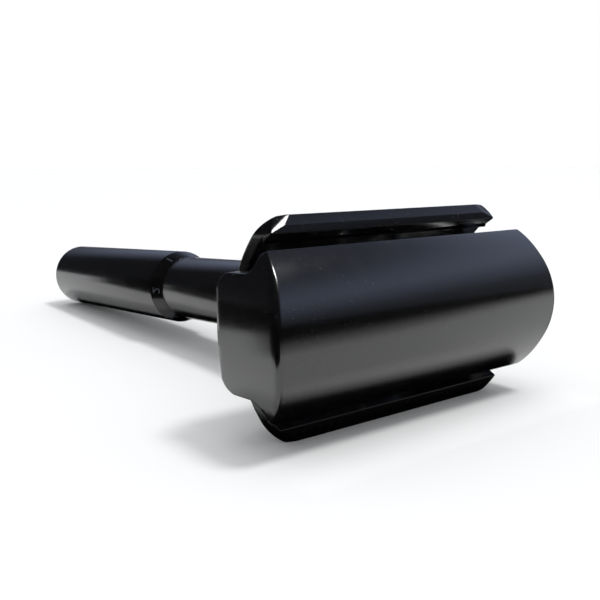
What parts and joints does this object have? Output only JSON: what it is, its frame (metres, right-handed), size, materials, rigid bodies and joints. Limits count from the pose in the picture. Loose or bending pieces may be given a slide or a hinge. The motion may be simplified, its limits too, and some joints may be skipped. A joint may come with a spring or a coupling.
{
  "type": "safety razor",
  "caption": "Adjustable double-edge safety razor with a clip-on cap, smooth safety bars, slim neck and a turning grip that sets the blade gap.",
  "frame": {"origin": "on the handle's axis, half way along the exposed neck, where a razor stand's fork holds it", "axes": "+X along the head's long side, +Y along the handle's axis towards the end of the grip, +Z across the head from one safety bar to the other"},
  "size_m": [0.0468, 0.1104, 0.0264],
  "materials": {
    "black_satin": "satin black coating",
    "plain_steel": "turned",
    "spring_steel": "rolled",
    "bush_brass": "turned",
    "seal_rubber": "matt"
  },
  "bodies": {
    "neck": {"safety_guard": "black_satin", "neck_bolt": "plain_steel", "neck_tube": "black_satin", "spindle_bush": "bush_brass", "friction_ring": "seal_rubber", "thrust_washer": "plain_steel", "retaining_ring": "spring_steel", "return_spring": "spring_steel"},
    "bed": {"blade_bed": "black_satin", "blade_posts": "plain_steel", "bed_screw": "plain_steel", "guide_pins": "plain_steel", "spindle": "plain_steel", "spring_clip": "spring_steel"},
    "cap": {"top_cap": "black_satin", "cap_clips": "spring_steel", "clip_rivets": "plain_steel"},
    "grip": {"grip_sleeve": "black_satin", "index_collar": "black_satin", "adjuster_nut": "bush_brass", "stop_pin": "plain_steel", "lock_ring": "bush_brass", "end_plug": "black_satin"}
  },
  "joints": [
    {"name": "dial_turn", "type": "hinge", "parent": "neck", "child": "grip", "pos_m": [0, 0.04, 0], "axis": [0, 1, 0], "range_deg": [0, 300]},
    {"name": "bed_rise", "type": "slide", "parent": "neck", "child": "bed", "axis": [0, -1, 0], "range_m": [0, 0.0006665], "deforming": ["return_spring"]},
    {"name": "cap_pull", "type": "slide", "parent": "bed", "child": "cap", "axis": [0, -1, 0], "range_m": [0, 0.02], "deforming": ["cap_clips"]}
  ],
  "couplings": [
    {"joint": "dial_turn", "follows": "bed_rise", "rad_per_m": 7854}
  ]
}
